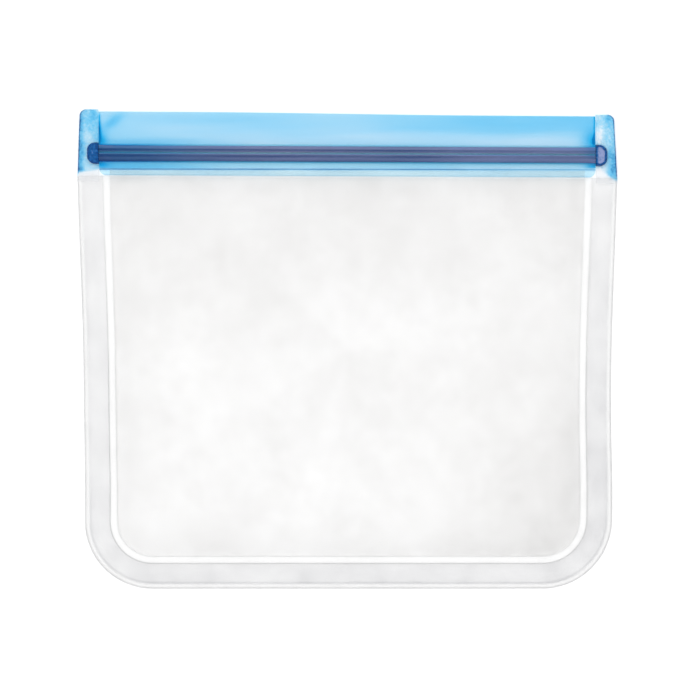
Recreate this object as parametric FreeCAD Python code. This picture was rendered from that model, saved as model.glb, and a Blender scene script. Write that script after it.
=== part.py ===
import FreeCAD, Part

import math
import os

# Flat reusable food bag with a press-to-close double zipper, lying on its back wall.
#
# Two clear films are welded together along the sides and the round-cornered bottom. A blue header
# on each side carries one half of the zipper. The front lip and the back lip each turn about a line
# across the pouch, where the films bend when the mouth is pulled open.
#
# +X is along the zipper, +Y runs from the bottom seam to the mouth, +Z is up from the surface that
# the bag lies on. The origin is the middle of the footprint, on that surface. All lengths are in
# millimetres.

V = FreeCAD.Vector

# Outline of the bag, seen from above: widest where the seam meets the header
WIDTH_AT_SEAM_TOP = 203.0
WIDTH_AT_BOTTOM = 197.6
WIDTH_AT_TAB_TOP = 200.8
HEIGHT = 180.0
CORNER_RADIUS = 26.0
LEAST_CORNER_RADIUS = 1.0

# Welded border, measured inwards from the outline
OUTER_BEAD_WIDTH = 1.7
INNER_BEAD_START = 9.5
INNER_BEAD_WIDTH = 2.1
FLANGE_BOTTOM, FLANGE_TOP = 0.35, 1.25
OUTER_BEAD_BOTTOM, OUTER_BEAD_TOP = 0.15, 1.45
INNER_BEAD_TOP = 1.8

# Films
WALL_FILM = 0.45
HEADER_FILM = 0.4
TAPE_FILM = 0.4
LAP_WELD_FILM = 0.85

# Stations along Y
HINGE_LINE = 31.0
LAP_WELD_START = 65.3
LAP_WELD_WIDTH = 2.6
ZIPPER_BOTTOM = 70.2
TAPE_PAST_ZIPPER = 0.5

# Front wall: height over the bench at each distance in from the inner bead
PILLOW_PROFILE = ((0.0, 0.9), (10.0, 7.5), (26.0, 12.0), (48.0, 14.0))
PILLOW_MOUTH_REACH = 3.5

# Zipper: height of the closed stack, and the two locking profiles across Y
FRONT_HEADER_TOP = 3.4
LOWER_CHANNEL_WIDTH = 3.3
UPPER_CHANNEL_WIDTH = 2.8
CHANNEL_GAP = 0.4
CHANNEL_WALL = 0.5
CHANNEL_WEB = 0.3
HOOK_REACH = 0.25
HOOK_RISE = 0.35
HOOK_LAND = 0.15
HOOK_BACK = 0.1
CHANNEL_TIP_CLEARANCE = 0.2
RIB_STEM_HALF = 0.35
RIB_SIDE_CLEARANCE = 0.15
RIB_TIP_HALF = 0.18
RIB_HEIGHT = 1.35
RIB_BARB_HEIGHT = 0.82
RIB_BARB_UNDERCUT = 0.05

# Ends of the header
TAB_INNER_X = 93.4
TAB_BOTTOM_Z, TAB_TOP_Z = 0.3, 1.5
TAB_CORNER_RADIUS = 2.3
STOP_LENGTH = 4.4
STOP_HALF_HEIGHT = 4.05
STOP_CORNER_RADIUS = 3.0
STOP_BOTTOM_Z, STOP_TOP_Z = 0.1, 3.3
STOP_FILLET = 0.6

# Free space between pieces that move past each other
MOVING_GAP = 0.3

# Derived stations
MOUTH_EDGE = HEIGHT / 2
HEADER_HALF_LENGTH = TAB_INNER_X - MOVING_GAP
HEADER_START = LAP_WELD_START + LAP_WELD_WIDTH
SEAM_END = LAP_WELD_START - MOVING_GAP
POUCH_INSET = INNER_BEAD_START + INNER_BEAD_WIDTH
FRONT_HEADER_BOTTOM = FRONT_HEADER_TOP - HEADER_FILM
FRONT_TAPE_BOTTOM = FRONT_HEADER_BOTTOM - TAPE_FILM
BACK_TAPE_TOP = HEADER_FILM + TAPE_FILM
CHANNEL_TIP_Z = BACK_TAPE_TOP + CHANNEL_TIP_CLEARANCE
ZIPPER_TOP = ZIPPER_BOTTOM + LOWER_CHANNEL_WIDTH + CHANNEL_GAP + UPPER_CHANNEL_WIDTH
LOWER_CHANNEL_Y = ZIPPER_BOTTOM + LOWER_CHANNEL_WIDTH / 2
UPPER_CHANNEL_Y = ZIPPER_TOP - UPPER_CHANNEL_WIDTH / 2
ZIPPER_MIDDLE = (ZIPPER_BOTTOM + ZIPPER_TOP) / 2
TAPE_TOP = ZIPPER_TOP + TAPE_PAST_ZIPPER

# How far a cutting tool runs past what it cuts
CUT_MARGIN = 1.0
PAST_EVERYTHING = 400.0


def box(x0, x1, y0, y1, z0, z1):
    """A block between two corners."""
    return Part.makeBox(x1 - x0, y1 - y0, z1 - z0, V(x0, y0, z0))


def half_width(y):
    """Half the distance between the two tapered sides at y."""
    share = (y + HEIGHT / 2) / (SEAM_END + HEIGHT / 2)
    return (WIDTH_AT_BOTTOM + (WIDTH_AT_SEAM_TOP - WIDTH_AT_BOTTOM) * share) / 2


def left(p):
    """The point's mirror image on the left."""
    return V(-p.x, p.y, p.z)


def pouch_wire(inset, top_y, z):
    """The outline moved in by inset and closed by a straight line at top_y."""
    slope = half_width(1.0) - half_width(0.0)
    length = math.hypot(1.0, slope)
    bottom_y = -HEIGHT / 2 + inset

    def side_x(y):
        return half_width(y) - inset * length

    radius = max(CORNER_RADIUS - inset, LEAST_CORNER_RADIUS)
    corner_angle = math.pi / 2 + math.atan(slope)
    reach = radius / math.tan(corner_angle / 2)
    corner = V(side_x(bottom_y), bottom_y, z)
    on_side = corner + V(slope, 1.0, 0) * (reach / length)
    on_bottom = corner - V(reach, 0, 0)
    centre = on_bottom + V(0, radius, 0)
    middle = centre + (corner - centre).normalize() * radius
    top = V(side_x(top_y), top_y, z)
    edges = [
        Part.makeLine(left(top), left(on_side)),
        Part.Arc(left(on_side), left(middle), left(on_bottom)).toShape(),
        Part.makeLine(left(on_bottom), on_bottom),
        Part.Arc(on_bottom, middle, on_side).toShape(),
        Part.makeLine(on_side, top),
        Part.makeLine(top, left(top)),
    ]
    return Part.Wire(edges)


def plate(inset, top_y, z0, z1):
    """A flat film inside the outline moved in by inset."""
    face = Part.Face(pouch_wire(inset, top_y, z0))
    return face.extrude(V(0, 0, z1 - z0))


def border(inset_out, inset_in, z0, z1):
    """A U-shaped strip of the border between two insets, from one side of the mouth to the other."""
    outer = plate(inset_out, SEAM_END, z0, z1)
    inner = plate(inset_in, SEAM_END + CUT_MARGIN, z0 - CUT_MARGIN, z1 + CUT_MARGIN)
    return outer.cut(inner)


def offset_profile(profile, thickness):
    """The pillow profile moved in by a film's thickness, as the film's inner side.

    Each corner moves along the line that halves its angle. The profile starts upright and ends level.
    """
    slopes = [math.pi / 2]
    slopes += [math.atan2(z1 - z0, d1 - d0) for (d0, z0), (d1, z1) in zip(profile, profile[1:])]
    slopes += [0.0]
    moved = []
    for (d, z), before, after in zip(profile, slopes, slopes[1:]):
        middle = (before + after) / 2
        reach = thickness / math.cos((before - after) / 2)
        moved.append((d + reach * math.sin(middle), z - reach * math.cos(middle)))
    return moved


def pillow_solid(profile, inset, floor_z):
    """A closed pillow: the profile carried round the sides, the bottom and the mouth side."""
    mouth_reference = LAP_WELD_START + PILLOW_MOUTH_REACH
    wires = [pouch_wire(inset + profile[0][0], mouth_reference - profile[0][0], floor_z)]
    for d, z in profile:
        wires.append(pouch_wire(inset + d, mouth_reference - d, z))
    return Part.makeLoft(wires, True, True)


def pillow_film(inset, floor_z):
    """The front wall as one film over the pouch, open underneath and at the mouth."""
    outside = pillow_solid(PILLOW_PROFILE, inset, floor_z)
    inner_profile = offset_profile(PILLOW_PROFILE, WALL_FILM)
    inside = pillow_solid(inner_profile, inset, floor_z - CUT_MARGIN)
    return outside.cut(inside).cut(beyond(LAP_WELD_START))


def beyond(y):
    """All space on the mouth side of the line y."""
    far = PAST_EVERYTHING
    return box(-far, far, y, far, -far, far)


def front_panel():
    """The lower part of the front wall, which the seam holds."""
    return pillow_film(POUCH_INSET, WALL_FILM).cut(beyond(HINGE_LINE))


def front_mouth_panel():
    """The part of the front wall that lifts with the front lip."""
    film = pillow_film(POUCH_INSET + MOVING_GAP, WALL_FILM + MOVING_GAP)
    return film.common(beyond(HINGE_LINE + MOVING_GAP))


def back_panel():
    """The lower part of the back wall, flat on the bench."""
    return plate(POUCH_INSET, HINGE_LINE, 0.0, WALL_FILM)


def back_mouth_panel():
    """The part of the back wall that drops with the back lip."""
    film = plate(POUCH_INSET + MOVING_GAP, LAP_WELD_START, 0.0, WALL_FILM)
    return film.common(beyond(HINGE_LINE + MOVING_GAP))


def strip(y0, y1, z0, z1):
    """A straight flat strip between the end tabs."""
    return box(-HEADER_HALF_LENGTH, HEADER_HALF_LENGTH, y0, y1, z0, z1)


def along_mouth(points):
    """A closed outline of (y, z) points, carried along X between the end tabs."""
    corners = [V(-HEADER_HALF_LENGTH, y, z) for y, z in points]
    face = Part.Face(Part.makePolygon(corners + corners[:1]))
    return face.extrude(V(2 * HEADER_HALF_LENGTH, 0, 0))


def both_sides(middle_y, half_outline):
    """A symmetric outline from the (y, z) points of its half on the mouth side."""
    far_side = [(middle_y + y, z) for y, z in half_outline]
    near_side = [(middle_y - y, z) for y, z in reversed(half_outline)]
    return far_side + near_side


def channel(middle_y, width):
    """A C-shaped groove that opens downwards, with a hook on the tip of each wall."""
    roof_z = FRONT_TAPE_BOTTOM - CHANNEL_WEB
    hook_low_z = CHANNEL_TIP_Z + HOOK_RISE
    hook_high_z = hook_low_z + HOOK_LAND
    outer = width / 2
    inner = outer - CHANNEL_WALL
    tip = inner - HOOK_REACH
    half_outline = [
        (outer, FRONT_TAPE_BOTTOM),
        (outer, CHANNEL_TIP_Z),
        (inner, CHANNEL_TIP_Z),
        (tip, hook_low_z),
        (tip, hook_high_z),
        (inner, hook_high_z + HOOK_BACK),
        (inner, roof_z),
    ]
    return along_mouth(both_sides(middle_y, half_outline))


def rib(middle_y, width):
    """An arrow-headed rib that snaps into a channel of the given width."""
    barb = width / 2 - CHANNEL_WALL - RIB_SIDE_CLEARANCE
    barb_z = BACK_TAPE_TOP + RIB_BARB_HEIGHT
    half_outline = [
        (RIB_STEM_HALF, BACK_TAPE_TOP),
        (RIB_STEM_HALF, barb_z + RIB_BARB_UNDERCUT),
        (barb, barb_z),
        (RIB_TIP_HALF, BACK_TAPE_TOP + RIB_HEIGHT),
    ]
    return along_mouth(both_sides(middle_y, half_outline))


def mirrored(shape):
    """The same piece on the left."""
    return shape.mirror(V(0, 0, 0), V(1, 0, 0))


def right_zipper_stop():
    """The fused stop at the zipper's end: straight towards the zipper, round-cornered towards the tab."""
    x0 = TAB_INNER_X
    x1 = x0 + STOP_LENGTH
    y0 = ZIPPER_MIDDLE - STOP_HALF_HEIGHT
    y1 = ZIPPER_MIDDLE + STOP_HALF_HEIGHT
    r = STOP_CORNER_RADIUS
    z = STOP_BOTTOM_Z
    low_corner = V(x1 - r, y0 + r, z) + V(1, -1, 0).normalize() * r
    high_corner = V(x1 - r, y1 - r, z) + V(1, 1, 0).normalize() * r
    rim = [
        Part.makeLine(V(x0, y1, z), V(x0, y0, z)),
        Part.makeLine(V(x0, y0, z), V(x1 - r, y0, z)),
        Part.Arc(V(x1 - r, y0, z), low_corner, V(x1, y0 + r, z)).toShape(),
        Part.makeLine(V(x1, y0 + r, z), V(x1, y1 - r, z)),
        Part.Arc(V(x1, y1 - r, z), high_corner, V(x1 - r, y1, z)).toShape(),
        Part.makeLine(V(x1 - r, y1, z), V(x0, y1, z)),
    ]
    body = Part.Face(Part.Wire(rim)).extrude(V(0, 0, STOP_TOP_Z - STOP_BOTTOM_Z))
    round_edges = [edge for edge in body.Edges if isinstance(edge.Curve, Part.Circle)]
    return body.makeFillet(STOP_FILLET, round_edges)


def right_end_tab():
    """The crushed end of both headers, fused flat, with a pocket for the zipper's stop."""
    z = TAB_BOTTOM_Z
    r = TAB_CORNER_RADIUS
    top_x = WIDTH_AT_TAB_TOP / 2
    on_side = V(top_x, MOUTH_EDGE - r, z)
    on_top = V(top_x - r, MOUTH_EDGE, z)
    arc_middle = V(top_x - r, MOUTH_EDGE - r, z) + V(1, 1, 0).normalize() * r
    low_outside = V(half_width(SEAM_END), SEAM_END, z)
    low_inside = V(TAB_INNER_X, SEAM_END, z)
    high_inside = V(TAB_INNER_X, MOUTH_EDGE, z)
    rim = [
        Part.makeLine(low_inside, low_outside),
        Part.makeLine(low_outside, on_side),
        Part.Arc(on_side, arc_middle, on_top).toShape(),
        Part.makeLine(on_top, high_inside),
        Part.makeLine(high_inside, low_inside),
    ]
    body = Part.Face(Part.Wire(rim)).extrude(V(0, 0, TAB_TOP_Z - TAB_BOTTOM_Z))
    return body.cut(right_zipper_stop())


def build():
    """Every sub-part by name."""
    return {
        "back_panel": back_panel(),
        "front_panel": front_panel(),
        "seam_flange": border(OUTER_BEAD_WIDTH, INNER_BEAD_START, FLANGE_BOTTOM, FLANGE_TOP),
        "inner_seam_bead": border(INNER_BEAD_START, POUCH_INSET, 0.0, INNER_BEAD_TOP),
        "outer_seam_bead": border(0.0, OUTER_BEAD_WIDTH, OUTER_BEAD_BOTTOM, OUTER_BEAD_TOP),
        "left_end_tab": mirrored(right_end_tab()),
        "right_end_tab": right_end_tab(),
        "left_zipper_stop": mirrored(right_zipper_stop()),
        "right_zipper_stop": right_zipper_stop(),
        "front_mouth_panel": front_mouth_panel(),
        "front_lap_weld": strip(
            LAP_WELD_START, HEADER_START, FRONT_HEADER_TOP - LAP_WELD_FILM, FRONT_HEADER_TOP
        ),
        "front_header": strip(HEADER_START, MOUTH_EDGE, FRONT_HEADER_BOTTOM, FRONT_HEADER_TOP),
        "front_zipper_tape": strip(HEADER_START, TAPE_TOP, FRONT_TAPE_BOTTOM, FRONT_HEADER_BOTTOM),
        "lower_zipper_channel": channel(LOWER_CHANNEL_Y, LOWER_CHANNEL_WIDTH),
        "upper_zipper_channel": channel(UPPER_CHANNEL_Y, UPPER_CHANNEL_WIDTH),
        "back_mouth_panel": back_mouth_panel(),
        "back_lap_weld": strip(LAP_WELD_START, HEADER_START, 0.0, LAP_WELD_FILM),
        "back_header": strip(HEADER_START, MOUTH_EDGE, 0.0, HEADER_FILM),
        "back_zipper_tape": strip(HEADER_START, TAPE_TOP, HEADER_FILM, BACK_TAPE_TOP),
        "lower_zipper_rib": rib(LOWER_CHANNEL_Y, LOWER_CHANNEL_WIDTH),
        "upper_zipper_rib": rib(UPPER_CHANNEL_Y, UPPER_CHANNEL_WIDTH),
    }


os.makedirs("parts", exist_ok=True)
for name, shape in build().items():
    assert shape.isValid() and len(shape.Solids) == 1, (name, len(shape.Solids))
    shape.exportStep(f"parts/{name}.step")
    print(f"{name:22s} {shape.Volume:9.1f} mm3")
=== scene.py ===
import math

import bpy
import numpy as np
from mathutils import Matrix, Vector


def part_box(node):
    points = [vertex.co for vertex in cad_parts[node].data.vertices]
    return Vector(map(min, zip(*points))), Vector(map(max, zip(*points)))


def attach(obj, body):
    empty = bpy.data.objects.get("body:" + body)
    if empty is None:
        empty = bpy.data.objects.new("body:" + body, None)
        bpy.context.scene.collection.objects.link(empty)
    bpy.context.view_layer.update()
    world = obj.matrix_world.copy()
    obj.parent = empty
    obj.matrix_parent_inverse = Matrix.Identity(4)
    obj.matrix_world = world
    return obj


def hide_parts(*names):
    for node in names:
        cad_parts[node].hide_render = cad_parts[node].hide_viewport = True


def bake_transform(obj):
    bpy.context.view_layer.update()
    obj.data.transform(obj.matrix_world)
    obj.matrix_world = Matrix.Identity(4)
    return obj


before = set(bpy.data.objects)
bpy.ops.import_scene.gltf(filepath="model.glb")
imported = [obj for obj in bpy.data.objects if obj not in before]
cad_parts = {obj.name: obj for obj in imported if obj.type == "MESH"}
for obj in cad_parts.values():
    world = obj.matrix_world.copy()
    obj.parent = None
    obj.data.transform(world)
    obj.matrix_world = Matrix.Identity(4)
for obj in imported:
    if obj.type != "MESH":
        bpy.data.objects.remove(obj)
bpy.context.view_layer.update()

# Looks of a flat reusable zip bag: clear welded film, a blue header and a dark blue zipper.
#
# Everything is in metres in the frame of the CAD model: +X along the zipper, +Y from the bottom seam
# to the mouth, +Z up. Each film is a closed thin solid. Two things go with each vertex besides its
# place: its UV, which is its x and y on the flat bag, or how far along and how far in it is on the
# border, and "depth", from 0 where the plastic looks palest to 1 where it is doubled, folded or
# crushed and looks deepest. Depth also carries painted shade, under the header and along the feet of
# the weld beads, and painted highlights along the bead ridges.

MM = 0.001

# Stations of the CAD model
EDGE_LOW, EDGE_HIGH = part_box("outer_seam_bead")
FLANGE_LOW, FLANGE_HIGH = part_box("seam_flange")
BEAD_LOW, BEAD_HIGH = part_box("inner_seam_bead")
BACK_LOW, BACK_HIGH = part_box("back_panel")
HEADER_LOW, HEADER_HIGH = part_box("front_header")
TAPE_LOW, TAPE_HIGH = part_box("front_zipper_tape")
BACK_TAPE_LOW, BACK_TAPE_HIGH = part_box("back_zipper_tape")
TAB_LOW, TAB_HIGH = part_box("right_end_tab")
STOP_LOW, STOP_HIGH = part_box("right_zipper_stop")
LOWER_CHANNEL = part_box("lower_zipper_channel")
UPPER_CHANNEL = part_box("upper_zipper_channel")
LOWER_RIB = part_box("lower_zipper_rib")
UPPER_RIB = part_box("upper_zipper_rib")
LAP_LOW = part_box("front_lap_weld")[0]

BOTTOM_Y = EDGE_LOW.y
SEAM_END_Y = EDGE_HIGH.y
HALF_WIDTH = EDGE_HIGH.x
HINGE_Y = BACK_HIGH.y
LAP_Y = LAP_LOW.y
HEADER_Y = HEADER_LOW.y
RAILS_LOW_Y = LOWER_CHANNEL[0].y
RAILS_HIGH_Y = UPPER_CHANNEL[1].y
ZIPPER_Y = (RAILS_LOW_Y + RAILS_HIGH_Y) / 2
HALF_HEADER = HEADER_HIGH.x

# Outline, and how the bag lies off it
SIDE_TAPER = 2.7 * MM
CORNER_RADIUS = 26.0 * MM
FLANGE_INSET = FLANGE_LOW.y - BOTTOM_Y
BEAD_INSET = BEAD_LOW.y - BOTTOM_Y
POUCH_INSET = BACK_LOW.y - BOTTOM_Y
WAIST = 1.2 * MM
HEADER_LEAN = 0.0048
HEADER_DROP = 0.4 * MM

# Films
WALL_FILM = 0.35 * MM
BLUE_FILM = 0.32 * MM
FRONT_LAP_FILM = 0.7 * MM
BACK_LAP_FILM = 0.6 * MM
TAB_FILM = 0.8 * MM
CLEARANCE = 0.05 * MM

# The mouth's films and rails run right up to the tabs and stops, because their ends don't move
MOUTH_END = TAB_LOW.x - CLEARANCE

# Pillow of air, and where the creases in its bottom corners start from
PILLOW_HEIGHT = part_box("front_panel")[1].z
CREASE_ROOM = 1.2 * MM
PILLOW_REACH = 48.0 * MM
PILLOW_POWER = 2.9
CORNER_POWER = 7.0
RIM_HEIGHT = 0.95 * MM
FAN_X = 60 * MM
FAN_Y = -48 * MM

# Ends of the header
LEFT_TAB_TOP = TAB_HIGH.y - 0.05 * MM
RIGHT_TAB_TOP = TAB_HIGH.y - 1.15 * MM
TAB_OVER_SEAM = 2.0 * MM
TAB_LEVEL = 1.05 * MM
TAB_TOP_HALF = 100.3 * MM
TAB_CORNER = 2.4 * MM
STOP_CORNER = 3.0 * MM
STOP_RAGGED = 0.06 * MM

# Mesh density
FILM_STEP = 1.5 * MM
TAB_STEP = 0.28 * MM

# Textures: UVs are in decimetres, and scales in patches to the decimetre
UV_PER_METRE = 10.0
GRAIN_SCALE = 90.0
GLOSS_SCALE = 30.0


# -------------------------------- shapes of the outline

def smooth(t):
    """0 below 0, 1 above 1 and a smooth step between."""
    t = np.clip(t, 0.0, 1.0)
    return t * t * (3.0 - 2.0 * t)


def bump(t):
    """A bell of height 1 and width about 1 either side of 0."""
    return np.exp(-np.square(t))


def round_off(past, radius):
    """What a round corner takes off a straight edge, at a distance past where it starts."""
    share = np.clip(past / radius, 0.0, 1.0)
    return radius * (1.0 - np.sqrt(1.0 - share * share))


def half_width(y):
    """Half the distance between the straight tapered sides at y."""
    share = (y - BOTTOM_Y) / (SEAM_END_Y - BOTTOM_Y)
    return HALF_WIDTH - SIDE_TAPER * (1.0 - share)


def half_width_in(y, inset):
    """Half the width at y of the outline moved in by inset, with its round bottom corners."""
    radius = CORNER_RADIUS - inset
    corner_y = BOTTOM_Y + inset + radius
    return half_width(y) - inset - round_off(corner_y - y, radius)


def rows(low, high, step, radius=0.0, round_low=False, round_high=False):
    """Stations from low to high in which rows close up towards a rounded end."""
    y = [low, high]
    start = low + radius if round_low else low
    stop = high - radius if round_high else high
    y += list(np.linspace(start, stop, max(2, int((stop - start) / step) + 1)))
    turns = np.linspace(0.0, math.pi / 2, max(4, int(radius * 1.6 / step) + 2))
    if round_low:
        y += list(start - radius * np.sin(turns))
    if round_high:
        y += list(stop + radius * np.sin(turns))
    return np.unique(np.round(y, 7))


def settle(x, y):
    """Where the bag really lies: its sides pull in at the waist and its header leans a little.

    The lower edge of the header film leans less than the zipper above it.
    """
    side = np.clip(x / HALF_WIDTH, -1.0, 1.0)
    waist = -WAIST * bump((y + 5 * MM) / (50 * MM))
    low_drift = 0.5 * MM * bump((y + 55 * MM) / (22 * MM))
    header_drift = 0.2 * MM * smooth((y - LAP_Y) / (20 * MM))
    drift = 0.1 * MM + low_drift - header_drift
    in_header = smooth((y - HINGE_Y) / (LAP_Y - HINGE_Y))
    lean = HEADER_LEAN * x + HEADER_DROP
    film_edge = 0.0040 * (x + 70 * MM) * bump((y - HEADER_Y) / (1.0 * MM))
    return x + waist * side + drift, y - in_header * lean + film_edge


# -------------------------------- smooth seeded noise

def wave_noise(x, y, wavelength, seed, stretch=1.0):
    """Smooth noise of about -1 to 1: a sum of plane waves in seeded directions.

    stretch above 1 draws its features out along x.
    """
    rng = np.random.default_rng(seed)
    total = np.zeros(np.broadcast(x, y).shape)
    waves = 14
    for _ in range(waves):
        angle = rng.uniform(0.0, 2.0 * math.pi)
        pitch = wavelength * rng.uniform(0.7, 1.6)
        along = (math.cos(angle) * x / stretch + math.sin(angle) * y) / pitch
        total = total + np.sin(2.0 * math.pi * along + rng.uniform(0.0, 2.0 * math.pi))
    return total / math.sqrt(waves / 2.0) / 2.0


# -------------------------------- mesh building

def new_piece(name, vertices, faces, plan, depth, material, sharp=50.0):
    """A mesh object whose UV is plan, in decimetres, and which carries depth."""
    mesh = bpy.data.meshes.new(name)
    mesh.from_pydata([tuple(v) for v in vertices], [], faces)
    mesh.validate()
    layer = mesh.uv_layers.new(name="UVMap")
    corner_vertex = np.zeros(len(mesh.loops), np.int32)
    mesh.loops.foreach_get("vertex_index", corner_vertex)
    layer.data.foreach_set("uv", (plan[corner_vertex] * UV_PER_METRE).astype(np.float32).ravel())
    attribute = mesh.attributes.new("depth", "FLOAT", "POINT")
    attribute.data.foreach_set("value", np.clip(depth, 0.0, 1.0).astype(np.float32))
    mesh.shade_smooth()
    mesh.set_sharp_from_angle(angle=math.radians(sharp))
    mesh.materials.append(material)
    piece = bpy.data.objects.new(name + "_look", mesh)
    bpy.context.scene.collection.objects.link(piece)
    return piece


def grid_faces(rows_count, columns, start, flipped):
    """Quads over a grid of vertices numbered row by row from start."""
    faces = []
    for i in range(rows_count - 1):
        for j in range(columns - 1):
            a = start + i * columns + j
            quad = (a, a + 1, a + columns + 1, a + columns)
            faces.append(quad[::-1] if flipped else quad)
    return faces


def grid_rim(rows_count, columns):
    """The indices round the edge of such a grid, anticlockwise."""
    bottom = list(range(columns))
    right = [i * columns + columns - 1 for i in range(1, rows_count)]
    top = [(rows_count - 1) * columns + j for j in range(columns - 2, -1, -1)]
    left = [i * columns for i in range(rows_count - 2, 0, -1)]
    return bottom + right + top + left


def tube_faces(rings, points, flipped):
    """Quads round a tube of closed rings, numbered ring by ring, and a cap at each end."""
    faces = []
    for i in range(rings - 1):
        for j in range(points):
            a = i * points + j
            b = i * points + (j + 1) % points
            faces.append((a, b, b + points, a + points))
    last = (rings - 1) * points
    faces.append(tuple(range(points - 1, -1, -1)))
    faces.append(tuple(range(last, last + points)))
    return [face[::-1] for face in faces] if flipped else faces


def film(name, x, y, middle, thickness, depth, material):
    """A closed thin film over a grid of plan points, with its middle at the given heights."""
    rows_count, columns = x.shape
    at_x, at_y = settle(x, y)
    top = np.stack([at_x, at_y, middle + thickness / 2], -1).reshape(-1, 3)
    under = np.stack([at_x, at_y, middle - thickness / 2], -1).reshape(-1, 3)
    count = rows_count * columns
    faces = grid_faces(rows_count, columns, 0, False)
    faces += grid_faces(rows_count, columns, count, True)
    rim = grid_rim(rows_count, columns)
    for a, b in zip(rim, rim[1:] + rim[:1]):
        faces.append((a, a + count, b + count, b))
    plan = np.stack([x, y], -1).reshape(-1, 2)
    return new_piece(
        name,
        np.concatenate([top, under]),
        faces,
        np.concatenate([plan, plan]),
        np.concatenate([depth.ravel(), depth.ravel()]),
        material,
    )


def strip_grid(low_x, high_x, y, step):
    """Plan points in rows at y, from low_x(y) to high_x(y)."""
    widest = float(np.max(high_x(y) - low_x(y)))
    share = np.linspace(0.0, 1.0, int(widest / step) + 2)[None, :]
    low, high = low_x(y)[:, None], high_x(y)[:, None]
    return low + (high - low) * share, np.repeat(y[:, None], share.size, 1)


def border_path():
    """Points on the outline and the way out of it, from the left end of the seam to the right."""
    slope = half_width(1.0) - half_width(0.0)
    corner_angle = math.pi / 2 + math.atan(slope)
    reach = CORNER_RADIUS / math.tan(corner_angle / 2)
    flat_x = half_width(BOTTOM_Y) - reach
    centre_y = BOTTOM_Y + CORNER_RADIUS
    tilt = math.atan(slope)
    arc = np.linspace(-math.pi / 2, -tilt, 44)
    arc_x = flat_x + CORNER_RADIUS * np.cos(arc)
    arc_y = centre_y + CORNER_RADIUS * np.sin(arc)
    side_y = np.arange(arc_y[-1], SEAM_END_Y, 2 * MM)[1:]
    side_y = np.append(side_y, SEAM_END_Y)
    side_x = half_width(side_y)
    flat = np.linspace(0.0, flat_x, 37)[:-1]
    x = np.concatenate([flat, arc_x, side_x])
    y = np.concatenate([np.full(flat.size, BOTTOM_Y), arc_y, side_y])
    out_x = np.concatenate([np.zeros(flat.size), np.cos(arc), np.full(side_y.size, math.cos(tilt))])
    out_y = np.concatenate([np.full(flat.size, -1.0), np.sin(arc), np.full(side_y.size, -math.sin(tilt))])
    x = np.concatenate([-x[:0:-1], x])
    y = np.concatenate([y[:0:-1], y])
    out_x = np.concatenate([-out_x[:0:-1], out_x])
    out_y = np.concatenate([out_y[:0:-1], out_y])
    length = np.concatenate([[0.0], np.cumsum(np.hypot(np.diff(x), np.diff(y)))])
    return x, y, out_x, out_y, length


def edge_lift(length, inset):
    """How far the border stands off the bench: it ripples most at its outer edge."""
    ripple = 0.5 + 0.5 * wave_noise(length, 0.0 * length, 62 * MM, 11)
    share = 1.0 - smooth(inset / BEAD_INSET)
    return (0.25 * MM + 0.9 * MM * ripple) * share


def border_strip(name, profile, material, depth):
    """A strip of the welded border: a closed profile of (inset, height) carried round the outline.

    depth gives how deep the plastic looks at (length along the border, inset).
    """
    x, y, out_x, out_y, length = border_path()
    inset = np.array([p[0] for p in profile])[None, :]
    height = np.array([p[1] for p in profile])[None, :]
    flat_x = x[:, None] - out_x[:, None] * inset
    flat_y = y[:, None] - out_y[:, None] * inset
    at_x, at_y = settle(flat_x, flat_y)
    at_z = height + edge_lift(length[:, None], inset)
    stations, points = at_x.shape
    long = np.repeat(length[:, None], points, 1)
    across = np.repeat(inset, stations, 0)
    return new_piece(
        name,
        np.stack([at_x, at_y, at_z], -1).reshape(-1, 3),
        tube_faces(stations, points, False),
        np.stack([long, across], -1).reshape(-1, 2),
        depth(long, across).ravel(),
        material,
        sharp=70.0,
    )


def mouth_rail(name, profile, material, depth):
    """A rail of the zipper: a closed profile of (y, z) carried along X."""
    x = np.linspace(-MOUTH_END, MOUTH_END, int(MOUTH_END / MM) + 1)[:, None]
    y = np.array([p[0] for p in profile])[None, :]
    z = np.array([p[1] for p in profile])[None, :]
    flat_x, flat_y = np.broadcast_arrays(x, y)
    at_x, at_y = settle(flat_x, flat_y)
    at_z = np.broadcast_to(z, at_x.shape)
    return new_piece(
        name,
        np.stack([at_x, at_y, at_z], -1).reshape(-1, 3),
        tube_faces(*at_x.shape, True),
        np.stack([flat_x, flat_y], -1).reshape(-1, 2),
        depth(flat_x, flat_y).ravel(),
        material,
        sharp=35.0,
    )


# -------------------------------- materials

def material_tree(name):
    """A new material's node tree and its output."""
    material = bpy.data.materials.new(name)
    material.use_nodes = True
    tree = material.node_tree
    tree.nodes.clear()
    output = tree.nodes.new("ShaderNodeOutputMaterial")
    return material, tree, output


def noise_value(tree, scale, detail, stretch, low, high):
    """Noise over the flat bag, with its middle range spread from low to high."""
    place = tree.nodes.new("ShaderNodeTexCoord")
    mapping = tree.nodes.new("ShaderNodeMapping")
    mapping.inputs["Scale"].default_value = (scale / stretch, scale, scale)
    texture = tree.nodes.new("ShaderNodeTexNoise")
    texture.inputs["Scale"].default_value = 1.0
    texture.inputs["Detail"].default_value = detail
    spread = tree.nodes.new("ShaderNodeMapRange")
    spread.inputs["From Min"].default_value = 0.3
    spread.inputs["From Max"].default_value = 0.7
    spread.inputs["To Min"].default_value = low
    spread.inputs["To Max"].default_value = high
    tree.links.new(place.outputs["UV"], mapping.inputs["Vector"])
    tree.links.new(mapping.outputs["Vector"], texture.inputs["Vector"])
    tree.links.new(texture.outputs["Fac"], spread.inputs["Value"])
    return spread.outputs["Result"]


def sum_of(tree, a, b):
    """a + b, kept between 0 and 1."""
    add = tree.nodes.new("ShaderNodeMath")
    add.operation = "ADD"
    add.use_clamp = True
    tree.links.new(a, add.inputs[0])
    tree.links.new(b, add.inputs[1])
    return add.outputs[0]


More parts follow.
